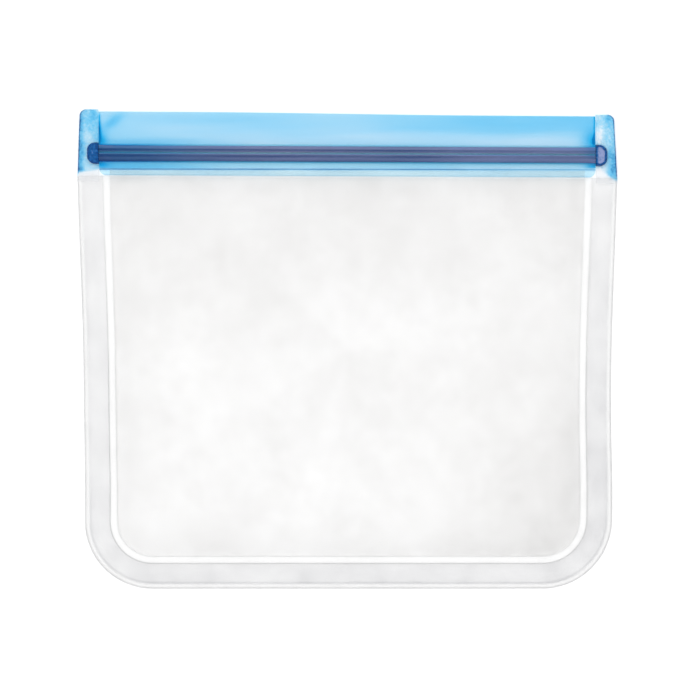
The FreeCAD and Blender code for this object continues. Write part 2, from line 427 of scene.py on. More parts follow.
def colour_by_depth(tree, fac, stops):
    """A colour that runs through stops, which are (depth, colour) pairs."""
    ramp = tree.nodes.new("ShaderNodeValToRGB")
    elements = ramp.color_ramp.elements
    while len(elements) < len(stops):
        elements.new(1.0)
    for element, (position, colour) in zip(elements, stops):
        element.position = position
        element.color = (*colour, 1.0)
    tree.links.new(fac, ramp.inputs["Fac"])
    return ramp.outputs["Color"]


def slanting_gloss(tree, normal, upright, slanting):
    """The share of light that the surface mirrors: upright seen square on, and more at a slant."""
    slant = tree.nodes.new("ShaderNodeLayerWeight")
    slant.inputs["Blend"].default_value = slanting
    tree.links.new(normal, slant.inputs["Normal"])
    add = tree.nodes.new("ShaderNodeMath")
    add.operation = "ADD"
    add.inputs[1].default_value = upright
    tree.links.new(slant.outputs["Facing"], add.inputs[0])
    return add.outputs[0]


def film_material(
    name, clear, haze, body, clouds, grain=0.12, roughness=(0.16, 0.3), gloss=(0.015, 0.04)
):
    """See-through plastic.

    clear gives what each face lets through and haze the colour of the milkiness in it, both as
    (depth, colour) stops, and body is the share of haze. clouds are soft patches in the depth, as
    (amount, patches to the decimetre, stretch along X). grain is the height of the surface texture,
    roughness is the range it varies over, and gloss is what a face mirrors square on and how fast
    that grows at a slant.
    """
    material, tree, output = material_tree(name)
    depth = tree.nodes.new("ShaderNodeAttribute")
    depth.attribute_name = "depth"
    fac = depth.outputs["Fac"]
    for amount, scale, stretch in clouds:
        fac = sum_of(tree, fac, noise_value(tree, scale, 3.0, stretch, -amount, amount))
    through = tree.nodes.new("ShaderNodeBsdfTransparent")
    tree.links.new(colour_by_depth(tree, fac, clear), through.inputs["Color"])
    bumps = tree.nodes.new("ShaderNodeBump")
    bumps.inputs["Strength"].default_value = grain
    bumps.inputs["Distance"].default_value = 0.1 * MM
    tree.links.new(noise_value(tree, GRAIN_SCALE, 3.0, 1.0, 0.0, 1.0), bumps.inputs["Height"])
    milk = tree.nodes.new("ShaderNodeBsdfPrincipled")
    tree.links.new(colour_by_depth(tree, fac, haze), milk.inputs["Base Color"])
    tree.links.new(noise_value(tree, GLOSS_SCALE, 2.0, 1.0, *roughness), milk.inputs["Roughness"])
    tree.links.new(bumps.outputs["Normal"], milk.inputs["Normal"])
    milk.inputs["Specular IOR Level"].default_value = 0.1
    seen = tree.nodes.new("ShaderNodeMixShader")
    seen.inputs["Fac"].default_value = body
    tree.links.new(through.outputs[0], seen.inputs[1])
    tree.links.new(milk.outputs[0], seen.inputs[2])
    shine = tree.nodes.new("ShaderNodeBsdfGlossy")
    shine.inputs["Roughness"].default_value = roughness[0]
    tree.links.new(bumps.outputs["Normal"], shine.inputs["Normal"])
    surface = tree.nodes.new("ShaderNodeMixShader")
    mirrored = slanting_gloss(tree, bumps.outputs["Normal"], *gloss)
    tree.links.new(mirrored, surface.inputs["Fac"])
    tree.links.new(seen.outputs[0], surface.inputs[1])
    tree.links.new(shine.outputs[0], surface.inputs[2])
    tree.links.new(surface.outputs[0], output.inputs["Surface"])
    return material


def wall_material():
    """Clear film, faintly milky, with soft clouds; deepest in the shade of the header."""
    return film_material(
        "wall_film",
        clear=((0.0, (0.997, 0.997, 0.997)), (0.5, (0.968, 0.967, 0.966)), (1.0, (0.925, 0.925, 0.925))),
        haze=((0.0, (0.97, 0.97, 0.97)), (0.5, (0.84, 0.83, 0.83)), (1.0, (0.72, 0.72, 0.72))),
        body=0.03,
        clouds=((0.09, 2.6, 1.0), (0.06, 9.0, 1.0), (0.04, 24.0, 1.0)),
        grain=0.03,
    )


def seam_material():
    """Two clear films fused flat."""
    return film_material(
        "seam_film",
        clear=((0.0, (0.975, 0.975, 0.975)), (0.5, (0.938, 0.938, 0.940)), (1.0, (0.88, 0.88, 0.885))),
        haze=((0.0, (0.92, 0.92, 0.92)), (0.5, (0.80, 0.80, 0.81)), (1.0, (0.62, 0.62, 0.63))),
        body=0.06,
        clouds=((0.12, 5.0, 1.0), (0.10, 14.0, 1.0)),
        grain=0.2,
    )


def bead_material():
    """A clear raised weld, with a painted highlight along its crest and painted shade along its feet."""
    return film_material(
        "weld_bead",
        clear=((0.0, (0.985, 0.985, 0.985)), (0.5, (0.92, 0.92, 0.92)), (1.0, (0.82, 0.82, 0.83))),
        haze=((0.0, (1.0, 1.0, 1.0)), (0.5, (0.7, 0.7, 0.7)), (1.0, (0.4, 0.4, 0.41))),
        body=0.10,
        clouds=((0.06, 12.0, 1.0),),
        grain=0.1,
    )


def header_material():
    """Light blue film, deeper where its two layers touch and darkest in a crease."""
    return film_material(
        "header_film",
        clear=(
            (0.0, (0.958, 0.970, 0.985)),
            (0.5, (0.762, 0.918, 0.976)),
            (0.8, (0.52, 0.895, 0.976)),
            (1.0, (0.36, 0.79, 0.905)),
        ),
        haze=((0.0, (0.60, 0.82, 0.95)), (0.5, (0.12, 0.60, 0.88)), (1.0, (0.01, 0.32, 0.58))),
        body=0.018,
        clouds=((0.04, 2.0, 5.0), (0.05, 26.0, 14.0)),
        grain=0.12,
        gloss=(0.005, 0.015),
    )


def tape_material():
    """The zipper's own web: nearly clear, and dark blue in the lines along the rails."""
    return film_material(
        "zipper_tape",
        clear=((0.0, (0.99, 1.0, 1.0)), (0.45, (0.72, 0.95, 1.0)), (1.0, (0.26, 0.60, 0.86))),
        haze=((0.0, (0.6, 0.85, 0.97)), (0.45, (0.06, 0.5, 0.8)), (1.0, (0.02, 0.16, 0.4))),
        body=0.01,
        clouds=((0.04, 6.0, 8.0), (0.04, 30.0, 16.0)),
        grain=0.12,
        gloss=(0.003, 0.01),
    )


def lap_material():
    """Pale blue where clear and blue film are welded over each other, and dark where one ends."""
    return film_material(
        "lap_film",
        clear=((0.0, (0.945, 0.987, 1.0)), (0.5, (0.80, 0.91, 0.965)), (1.0, (0.36, 0.60, 0.78))),
        haze=((0.0, (0.85, 0.94, 0.98)), (0.5, (0.45, 0.68, 0.82)), (1.0, (0.06, 0.2, 0.36))),
        body=0.03,
        clouds=((0.05, 8.0, 6.0), (0.05, 40.0, 10.0)),
        grain=0.2,
        gloss=(0.005, 0.015),
    )


def tab_material():
    """Blue film crushed and fused flat at the ends of the header."""
    return film_material(
        "tab_film",
        clear=(
            (0.0, (0.987, 0.987, 0.987)),
            (0.12, (0.978, 0.972, 0.978)),
            (0.55, (0.58, 0.85, 0.955)),
            (1.0, (0.12, 0.36, 0.60)),
        ),
        haze=((0.0, (0.96, 0.98, 1.0)), (0.55, (0.22, 0.66, 0.90)), (1.0, (0.02, 0.16, 0.34))),
        body=0.10,
        clouds=((0.06, 14.0, 1.0), (0.07, 60.0, 1.0), (0.07, 140.0, 1.0)),
        grain=0.8,
        roughness=(0.2, 0.42),
    )


def zipper_material():
    """Dark blue extrusion with a purple cast."""
    return film_material(
        "zipper_profile",
        clear=((0.0, (0.50, 0.62, 0.85)), (0.3, (0.50, 0.52, 0.80)), (1.0, (0.12, 0.26, 0.52))),
        haze=((0.0, (0.20, 0.26, 0.70)), (0.3, (0.29, 0.195, 0.335)), (1.0, (0.02, 0.022, 0.13))),
        body=0.9,
        clouds=((0.06, 10.0, 14.0), (0.08, 60.0, 20.0)),
        grain=0.15,
        roughness=(0.14, 0.28),
        gloss=(0.01, 0.04),
    )


def stop_material():
    """The melted end of the zipper: lilac where thin, navy where thick."""
    return film_material(
        "zipper_stop",
        clear=((0.0, (0.80, 0.86, 0.97)), (0.6, (0.10, 0.45, 0.80)), (1.0, (0.01, 0.22, 0.52))),
        haze=((0.0, (0.46, 0.54, 0.84)), (0.6, (0.01, 0.19, 0.54)), (1.0, (0.0, 0.08, 0.31))),
        body=0.5,
        clouds=((0.08, 60.0, 1.0), (0.28, 130.0, 1.0)),
        grain=0.6,
        roughness=(0.14, 0.3),
    )


def floor_material():
    """Plain pale bench."""
    material, tree, output = material_tree("floor")
    surface = tree.nodes.new("ShaderNodeBsdfPrincipled")
    surface.inputs["Base Color"].default_value = (0.9, 0.9, 0.9, 1.0)
    surface.inputs["Roughness"].default_value = 0.9
    surface.inputs["Specular IOR Level"].default_value = 0.1
    tree.links.new(surface.outputs[0], output.inputs["Surface"])
    return material


# -------------------------------- heights

def rise(distance):
    """The pillow's rise, from 0 to 1, at a distance in from where it starts."""
    share = np.clip(distance / PILLOW_REACH, 0.0, 1.0)
    return 1.0 - (1.0 - share) ** PILLOW_POWER


def from_rim(x, y, inset):
    """How far a plan point is inside the round-cornered outline moved in by inset."""
    radius = CORNER_RADIUS - inset
    side = half_width(y) - inset - np.abs(x)
    bottom = y - BOTTOM_Y - inset
    past_x = np.clip(radius - side, 0.0, None)
    past_y = np.clip(radius - bottom, 0.0, None)
    in_corner = radius - np.hypot(past_x, past_y)
    return np.clip(np.where((past_x > 0) & (past_y > 0), in_corner, np.minimum(side, bottom)), 0.0, None)


def pillow(x, y, inset):
    """Height of the front wall's middle before creases: high in the middle, down at the seam."""
    side = PILLOW_REACH - np.clip(half_width(y) - inset - np.abs(x), 0.0, PILLOW_REACH)
    bottom = PILLOW_REACH - np.clip(y - BOTTOM_Y - inset, 0.0, PILLOW_REACH)
    together = (side ** CORNER_POWER + bottom ** CORNER_POWER) ** (1.0 / CORNER_POWER)
    round_corner = rise(PILLOW_REACH - together) * smooth(0.5 + from_rim(x, y, inset) / (12 * MM))
    start = smooth(from_rim(x, y, inset) / (2 * MM))
    mouth = rise(LAP_Y + 1.9 * MM - y)
    height = PILLOW_HEIGHT - RIM_HEIGHT - WALL_FILM - CREASE_ROOM
    return RIM_HEIGHT + height * round_corner * start * mouth


def corner_fan(x, y):
    """Creases that fan out from FAN_X, FAN_Y into each round bottom corner."""
    out_x = np.abs(x) - FAN_X
    up_y = y - FAN_Y
    ring = bump((np.hypot(out_x, up_y) - 14 * MM) / (11 * MM))
    fan = np.sin(9.0 * np.arctan2(up_y, out_x) + 1.3 * np.sign(x)) * ring
    outward = smooth((out_x - 2 * MM) / (10 * MM)) * smooth((2 * MM - up_y) / (10 * MM))
    return 0.45 * MM * fan * outward


def creases(x, y, inset):
    """Soft puckers across the seam and under the lap weld, and slow waves over the middle."""
    distance = from_rim(x, y, inset)
    near_seam = bump((distance - 11 * MM) / (9 * MM))
    around = np.where(np.abs(x) > FAN_X, y, x)
    pucker = 0.32 * MM * near_seam * wave_noise(around, 0.2 * distance, 21 * MM, 3)
    slow = 0.5 * MM * wave_noise(x, y, 55 * MM, 5) * smooth(distance / (25 * MM))
    under_lap = bump((LAP_Y - 7 * MM - y) / (9 * MM)) * smooth(distance / (6 * MM))
    across = 0.25 * MM * wave_noise(x, y, 14 * MM, 8, stretch=5.0) * under_lap
    return pucker + corner_fan(x, y) + slow + across


def end_share(x):
    """0 over most of the header, rising to 1 where it is clamped at the end tabs."""
    return smooth((np.abs(x) - (HALF_HEADER - 7 * MM)) / (6 * MM))


def lip_height(x, y):
    """Height of the front header's top side: level over the zipper and sagging to its free edge.

    Its ends are pinched down except beside the stops.
    """
    over_zipper = HEADER_HIGH.z
    past = smooth((y - RAILS_HIGH_Y) / (9 * MM))
    waves = 0.35 * MM * wave_noise(x, y, 46 * MM, 21, stretch=1.6)
    free = over_zipper - past * (0.9 * MM + waves)
    by_stop = bump((y - ZIPPER_Y) / (5 * MM))
    clamped = TAB_HIGH.z + (over_zipper - TAB_HIGH.z) * by_stop
    return free + (clamped - free) * end_share(x)


def back_lap_top(x, y):
    """Height of the back lap weld's top side, level over the bench."""
    return np.full_like(x, 0.8 * MM)


def header_top(x):
    """Where the header's free edge is: it falls gently from left to right."""
    return HEADER_HIGH.y - 1.3 * MM - 0.5 * MM * np.tanh(x / (45 * MM))


# -------------------------------- walls

BEAD_CREST = (BEAD_INSET + POUCH_INSET) / 2 + 0.2 * MM
BEAD_FOOT = 1.35 * MM
WALL_INSET = BEAD_CREST + BEAD_FOOT + 0.1 * MM
FLANGE_END = BEAD_CREST - BEAD_FOOT - 0.3 * MM
FLANGE_TOP = FLANGE_HIGH.z - 0.1 * MM


def wall_grid():
    """Plan points over the pouch, from the bottom bead to just under the lap weld."""
    low = BOTTOM_Y + WALL_INSET
    y = rows(low, LAP_Y + 2 * MM, FILM_STEP, CORNER_RADIUS - WALL_INSET, round_low=True)

    def half(at):
        return half_width_in(at, WALL_INSET)

    return strip_grid(lambda at: -half(at), half, y, FILM_STEP)


def make_front_wall(material):
    """The front film, from the seam up over the pillow and down to the lap weld."""
    x, y = wall_grid()
    height = pillow(x, y, WALL_INSET) + creases(x, y, WALL_INSET)
    at_lap = LAP_LOW.z - WALL_FILM / 2 - CLEARANCE
    to_lap = smooth((y - LAP_Y + 7 * MM) / (7 * MM))
    height = height + (at_lap - height) * to_lap
    shade = 0.42 * bump((LAP_Y - y) / (2.4 * MM))
    low_right = 0.42 * smooth((x - 0.6 * y - 60 * MM) / (60 * MM))
    high = 0.22 * smooth((y - 5 * MM) / (40 * MM))
    under_lap = smooth((y - LAP_Y) / (0.6 * MM))
    depth = (0.18 + shade + low_right + high) * (1.0 - 0.8 * under_lap)
    return film("front_wall", x, y, height, WALL_FILM, depth, material)


def make_back_wall(material):
    """The back film, flat on the bench but for slow waves."""
    x, y = wall_grid()
    waves = 0.15 * MM * (1.0 + 0.7 * wave_noise(x, y, 48 * MM, 31))
    height = WALL_FILM / 2 + CLEARANCE + waves
    return film("back_wall", x, y, height, WALL_FILM, np.full_like(x, 0.15), material)


# -------------------------------- welded border

def closed_profile(inset_out, inset_in, top, bottom, count):
    """A closed (inset, height) profile with its top and its underside as functions of inset."""
    inset = np.linspace(inset_out, inset_in, count)
    upper = [(i, top(i)) for i in inset]
    lower = [(i, bottom(i)) for i in inset[::-1]]
    return upper + lower


def make_seam_flange(material):
    """The flat fused border between the beads."""
    profile = closed_profile(
        FLANGE_INSET + CLEARANCE,
        FLANGE_END,
        lambda i: FLANGE_TOP,
        lambda i: FLANGE_LOW.z,
        count=28,
    )

    def depth(length, inset):
        along = length / length.max()
        low_left = bump((along - 0.33) / 0.12)
        low_right = smooth((along - 0.25) / 0.45) * smooth((1.0 - along) / 0.18)
        along_bottom = smooth((along - 0.2) / 0.15) * smooth((0.8 - along) / 0.15)
        # A painted shade line along the inner foot of the outer bead, stronger along the bottom.
        line = (0.10 + 0.36 * along_bottom) * bump((inset - FLANGE_INSET - 0.45 * MM) / (0.4 * MM))
        mottle = 0.08 * wave_noise(length, inset, 20 * MM, 41)
        return 0.32 + 0.13 * low_left + 0.19 * low_right + line + mottle

    return border_strip("seam_flange", profile, material, depth)


def make_inner_bead(material):
    """The bead that closes the pouch: a rounded ridge with a shallow foot on each side."""

    def top(i):
        lift = math.cos(math.pi / 2 * min(1.0, abs(i - BEAD_CREST) / BEAD_FOOT)) ** 2
        return FLANGE_TOP + (BEAD_HIGH.z - FLANGE_TOP) * lift

    profile = closed_profile(
        FLANGE_END + CLEARANCE,
        WALL_INSET - CLEARANCE,
        top,
        lambda i: CLEARANCE,
        count=17,
    )

    def depth(length, inset):
        # Painted shade along both feet of the bead, stronger on its outer foot and fainter towards the
        # top ends of the seam.
        line = bump((np.abs(inset - BEAD_CREST) - BEAD_FOOT) / (0.19 * MM))
        sharper_outside = np.where(inset < BEAD_CREST, 1.0, 0.6)
        along = length / length.max()
        fainter_on_top = 0.35 + 0.65 * smooth(along * 5) * smooth((1.0 - along) * 5)
        return 0.85 * line * sharper_outside * fainter_on_top

    return border_strip("inner_seam_bead", profile, material, depth)


def make_outer_bead(material):
    """The rounded bead where the border was cut and sealed."""
    middle = FLANGE_INSET / 2
    centre_z = (EDGE_LOW.z + EDGE_HIGH.z) / 2
    half_z = (EDGE_HIGH.z - EDGE_LOW.z) / 2
    profile = []
    points = 18
    for k in range(points):
        angle = 2 * math.pi * k / points
        profile.append((middle - middle * math.cos(angle), centre_z + half_z * math.sin(angle)))

    def depth(length, inset):
        # Painted shade along the outer edge and a painted highlight along the ridge of the bead.
        painted_shade_rim = bump(inset / (0.35 * MM))
        painted_highlight_ridge = bump((inset - 1.5 * middle) / (0.5 * MM))
        return 0.3 + 0.6 * painted_shade_rim - 0.4 * painted_highlight_ridge

    return border_strip("outer_seam_bead", profile, material, depth)


# -------------------------------- header

# A slanting fold near the top left corner, and the way it runs
SWOOP_X = -88 * MM
SWOOP_Y = 85.5 * MM
SWOOP_RUN = (0.82, 0.57)


def header_depth(x, y):
    """Deeper blue where the two films of the header touch, which is more so to the right."""
    above = (y - RAILS_HIGH_Y) / MM
    below = (RAILS_LOW_Y - y) / MM
    right = smooth((x + 10 * MM) / (70 * MM))
    left = smooth((-30 * MM - x) / (60 * MM))
    middle = (1.0 - right) * (1.0 - left)
    depth = 0.18 + 0.04 * wave_noise(x, y, 60 * MM, 51, stretch=2.0)
    depth = depth - 0.09 * middle * smooth((9.0 - above) / 7.0)
    depth = depth + 0.22 * right * smooth((above - 2.0) / 7.0) + 0.04 * left
    depth = depth + (0.02 + 0.14 * left - 0.06 * right) * bump((above - 0.6) / 2.4)
    depth = depth + (0.12 * left - 0.04 * right - 0.04) * smooth(below)
    depth = depth + 0.20 * left * smooth(-above / 1.5) * smooth(-below / 0.5)
    free_edge = bump((header_top(x) - y) / (0.4 * MM))
    return depth + 0.08 * free_edge + header_folds(x, y, above, below)


def header_folds(x, y, above, below):
    """Deeper blue in the folds beside the tabs and where the film is pinched round the stops."""
    from_end = (HALF_HEADER - np.abs(x)) / MM
    width_left = 0.28 + 0.40 * bump((above - 5.0) / 3.5)
    width_right = 0.25 + 0.60 * bump((above - 2.0) / 2.0)
    fold = bump(from_end / np.where(x < 0, width_left, width_right))
    beside_tab = fold * smooth(above / 1.5) * smooth((12.5 - above) / 2.0)
    run_x, run_y = SWOOP_RUN
    past_x, past_y = x - SWOOP_X, y - SWOOP_Y
    along = (run_x * past_x + run_y * past_y) / MM
    across = (run_x * past_y - run_y * past_x) / MM
    swoop = bump(along / 4.5) * bump(across / 1.8)
    reach = np.where(x < 0, 2.6, 4.2)
    beside_stop = bump(from_end / reach) * bump((above - 2.0) / reach)
    under_stop = bump(from_end / 3.2) * bump(below - 0.9)
    return 0.85 * beside_tab + 0.28 * swoop + 0.55 * beside_stop + 0.60 * under_stop


def spaced(half, step, fine, zone):
    """Stations from -half to half, closer together within zone of each end."""
    middle = np.linspace(zone - half, half - zone, int(2 * (half - zone) / step) + 1)
    end = np.linspace(half - zone, half, int(zone / fine) + 2)[1:]
    return np.concatenate([-end[::-1], middle, end])


def header_grid(low_y):
    """Plan points from low_y to the header's free edge."""
    share = np.linspace(0.0, 1.0, int((HEADER_HIGH.y - low_y) / (0.5 * MM)) + 1)[:, None]
    x = spaced(MOUTH_END, FILM_STEP, 0.3 * MM, 9 * MM)[None, :]
    y = low_y + (header_top(x) - low_y) * share
    return np.repeat(x, share.size, 0), y


def make_front_header(material):
    """The outer blue film of the front lip."""
    x, y = header_grid(HEADER_Y + CLEARANCE)
    height = lip_height(x, y) - BLUE_FILM / 2
    return film("front_header", x, y, height, BLUE_FILM, header_depth(x, y), material)


def make_back_header(material):
    """The outer blue film of the back lip, on the bench."""
    x, y = header_grid(HEADER_Y + CLEARANCE)
    waves = 0.25 * MM * (1.0 + wave_noise(x, y, 50 * MM, 61, stretch=1.5))
    past = smooth((y - RAILS_HIGH_Y) / (8 * MM))
    height = BLUE_FILM / 2 + CLEARANCE + waves * past + 0.4 * MM * end_share(x)
    return film("back_header", x, y, height, BLUE_FILM, header_depth(x, y), material)


def tape_grid():
    """Plan points over the zipper's web."""
    y = rows(HEADER_Y + 2 * CLEARANCE, TAPE_HIGH.y, 0.18 * MM)

    def half(at):
        return np.full_like(at, MOUTH_END)

    return strip_grid(lambda at: -half(at), half, y, FILM_STEP)


def tape_depth(x, y):
    """Pale, with a deep line along each side of the rails, and deeper by the right stop."""
    low, high = RAILS_LOW_Y, RAILS_HIGH_Y
    on_rails = smooth((y - low - 0.15 * MM) / (0.3 * MM)) * smooth((high - y) / (0.3 * MM))
    line_above = bump((y - high + 0.15 * MM) / (0.3 * MM))
    line_below = bump((y - low - 0.28 * MM) / (0.3 * MM))
    left = smooth((-50 * MM - x) / (40 * MM))
    right = smooth((x - 20 * MM) / (50 * MM))
    by_right_stop = smooth((x - 88 * MM) / (5 * MM))
    depth = 0.08 + 0.09 * left - 0.05 * right + 0.15 * by_right_stop + 0.03 * on_rails
    depth = depth + (0.10 + 0.45 * left) * line_above + (0.40 + 0.25 * left) * line_below
    return depth + 0.02 * wave_noise(x, y, 30 * MM, 71, stretch=3.0)


def make_front_tape(material):
    """The web that carries the channels."""
    x, y = tape_grid()
    thickness = TAPE_HIGH.z - TAPE_LOW.z - 2 * CLEARANCE
    height = lip_height(x, y) - BLUE_FILM - 2 * CLEARANCE - thickness / 2
    return film("front_zipper_tape", x, y, height, thickness, tape_depth(x, y), material)


def make_back_tape(material):
    """The web that carries the ribs."""
    x, y = tape_grid()
    thickness = BACK_TAPE_HIGH.z - BACK_TAPE_LOW.z - 2 * CLEARANCE
    height = np.full_like(x, (BACK_TAPE_LOW.z + BACK_TAPE_HIGH.z) / 2)
    return film("back_zipper_tape", x, y, height, thickness, tape_depth(x, y), material)


def make_lap(name, material, top_z, thickness):
    """A lap weld: a pale strip with a dark line where the clear film ends."""
    low_y, high_y = LAP_Y, HEADER_Y - CLEARANCE
    radius = 2.5 * MM
    y = rows(low_y, high_y, 0.15 * MM, radius, round_low=True)

    def half(at):
        return MOUTH_END - round_off(low_y + radius - at, radius)

    x, y = strip_grid(lambda at: -half(at), half, y, FILM_STEP)
    height = top_z(x, y) - thickness / 2
    right = smooth((x - 20 * MM) / (50 * MM))
    line = (0.72 - 0.22 * right) * bump((high_y - 0.2 * MM - y) / (0.3 * MM))
    edge = 0.25 * bump((y - low_y) / (0.3 * MM))
    return film(name, x, y, height, thickness, 0.04 + line + edge, material)


# -------------------------------- zipper rails

def channel_profile(low, high):
    """The hooked C of a channel, in (y, z), within its CAD box."""
    middle = (low.y + high.y) / 2
    middle = middle + 0.1 * MM * np.sign(ZIPPER_Y - middle)
    outer = (high.y - low.y) / 2 - 0.14 * MM
    wall, web, hook = 0.5 * MM, 0.3 * MM, 0.22 * MM
    inner = outer - wall
    roof = high.z - web
    crown = np.linspace(0.0, outer - 0.12 * MM, 13)[1:]
    half = [(y, high.z - 0.04 * MM * math.sin(math.pi * 3 * y / outer) ** 2) for y in crown]
    half += [
        (outer, high.z - 0.12 * MM),
        (outer, low.z + 0.15 * MM),
        (outer - 0.15 * MM, low.z),
        (inner, low.z),
        (inner - hook, low.z + 0.35 * MM),
        (inner - hook, low.z + 0.5 * MM),
        (inner, low.z + 0.62 * MM),
        (inner, roof - 0.15 * MM),
        (inner - 0.15 * MM, roof),
    ]
    far = [(middle + y, z) for y, z in half]
    near = [(middle - y + 0.15 * MM * (y > inner), z) for y, z in half[::-1]]
    return far + near


def rib_profile(low, high):
    """The arrow head of a rib, in (y, z), within its CAD box."""
    middle = (low.y + high.y) / 2
    barb = (high.y - low.y) / 2
    stem = 0.35 * MM
    barb_z = low.z + 0.82 * MM
    half = [
        (stem + 0.12 * MM, low.z),
        (stem, low.z + 0.15 * MM),
        (stem, barb_z + 0.03 * MM),
        (barb, barb_z),
        (barb - 0.05 * MM, barb_z + 0.15 * MM),
        (0.18 * MM, high.z),
    ]
    far = [(middle + y, z) for y, z in half]
    near = [(middle - y, z) for y, z in half[::-1]]
    return far + near


def rail_depth(low, high):
    """How deep a rail looks, as a function of (x, y).

    The wide rail is dark along its lower edge and pale along its upper one, with streaks between.
    The narrow rail is darkest near its middle and palest along its lower edge.
    """
    wide = high.y - low.y > 3 * MM

    def depth(x, y):
        up = (y - low.y) / (high.y - low.y)
        left = smooth((-60 * MM - x) / (30 * MM))
        right = smooth((x - 20 * MM) / (40 * MM))
        if wide:
            shade = 0.71 + 0.18 * bump((up - 0.72) / 0.14) - 0.10 * bump((up - 0.48) / 0.12)
            shade = shade + 0.35 * bump(up / 0.16) - 0.68 * bump((up - 1.0) / 0.09)
        else:
            shade = 0.32 + 0.48 * bump((up - 0.40) / 0.12) + 0.26 * smooth((0.5 - up) / 0.2)
            shade = shade - 0.35 * bump(up / 0.10)
        return shade * (1.0 + 0.25 * left - 0.25 * right)

    return depth


def make_rail(name, box, profile, material):
    """One rail of the zipper, within its CAD box."""
    low, high = box
    return mouth_rail(name, profile(low, high), material, rail_depth(low, high))


# -------------------------------- ends

def stop_edge(y, gap):
    """Where the tab starts in x at y: round the zipper's stop, and straight above and below it."""
    half = (STOP_HIGH.y - STOP_LOW.y) / 2 + gap
    corner = STOP_CORNER + gap
    past_corner = np.clip(np.abs(y - ZIPPER_Y) - half + corner, 0.0, corner)
    round_stop = STOP_HIGH.x + gap - corner + np.sqrt(corner ** 2 - past_corner ** 2)
    return np.where(np.abs(y - ZIPPER_Y) < half, round_stop, TAB_LOW.x + CLEARANCE)


def tab_outer_edge(y, top, radius):
    """Outer edge of the end tab at y, with its round top corner."""
    share = (y - TAB_LOW.y) / (TAB_HIGH.y - TAB_LOW.y)
    straight = HALF_WIDTH - (HALF_WIDTH - TAB_TOP_HALF) * share
    return straight - round_off(y - (top - radius), radius)


def tab_depth(x, y, side, top_y, seed):
    """Mottled blue, deeper outside, and clear where the tab fades out over the border.

    The right tab is paler by the header than the left one.
    """
    above_seam = (y - SEAM_END_Y) / MM
    out = (x - TAB_LOW.x) / MM
    top = smooth((above_seam - 14.0) / 8.0)
    patches = 0.05 * wave_noise(x, y, 5 * MM, seed) - 0.12 * np.abs(wave_noise(x, y, 2.2 * MM, seed + 1))
    if side < 0:
        depth = 0.44 + 0.04 * top + 0.16 * smooth((out - 5.0) / 2.0)
        depth = depth - 0.14 * bump((out - 3.5) / 2.5) * (1.0 - top)
        fade = smooth((above_seam - 1.6 + 0.15 * out) / 1.6)
    else:
        depth = 0.18 + 0.25 * smooth((out - 1.5) / 5.0) + 0.12 * top
        depth = depth + 0.22 * smooth((out - 3.0) / 4.0) * bump((above_seam - 4.0) / 4.5)
        fade = smooth((above_seam - 2.5 + 0.55 * out) / 1.6)
    edge = bump((tab_outer_edge(y, top_y, TAB_CORNER) - x) / (0.25 * MM))
    return fade * (0.04 + depth + patches) + 0.7 * edge * smooth((above_seam + 1.0) / 2.0)


def make_tab(name, side, material, top, seed):
    """A crushed end of the header, run down over the end of the border, with room for the stop."""
    y = rows(TAB_LOW.y - TAB_OVER_SEAM, top, TAB_STEP, TAB_CORNER, round_high=True)
    x, y = strip_grid(
        lambda at: stop_edge(at, CLEARANCE),
        lambda at: tab_outer_edge(at, top, TAB_CORNER),
        y,
        TAB_STEP,
    )
    fine = 0.14 * MM * wave_noise(x, y, 3.2 * MM, seed + 5)
    coarse = 0.2 * MM * wave_noise(x, y, 9 * MM, seed + 6)
    over_seam = 1.0 * MM * smooth((SEAM_END_Y + 1.2 * MM - y) / (2 * MM))
    height = TAB_LEVEL + over_seam + (fine + coarse)
    depth = tab_depth(x, y, side, top, seed)
    if side < 0:
        x = -x[:, ::-1]
        y = y[:, ::-1]
        height = height[:, ::-1]
        depth = depth[:, ::-1]
    return film(name, x, y, height, TAB_FILM, depth, material)


def stop_ring(inset):
    """The stop's outline moved in by inset: straight by the zipper, with round corners outside."""
    left = STOP_LOW.x + min(inset, 0.5 * MM) / 4
    right = STOP_HIGH.x - inset
    half = (STOP_HIGH.y - STOP_LOW.y) / 2 - inset
    radius = max(STOP_CORNER - inset, 0.35 * MM)
    quarter = np.linspace(0.0, math.pi / 2, 10)
    outer = np.linspace(-half + radius, half - radius, 8)[1:-1]
    inner = np.linspace(half, -half, 12)
    ring_x = [
        right - radius + radius * np.sin(quarter),
        np.full(outer.size, right),
        right - radius + radius * np.cos(quarter),
        np.full(inner.size, left),
    ]
    ring_y = [
        -half + radius - radius * np.cos(quarter),
        outer,
        half - radius + radius * np.sin(quarter),
        inner,
    ]
    return np.concatenate(ring_x), ZIPPER_Y + np.concatenate(ring_y)


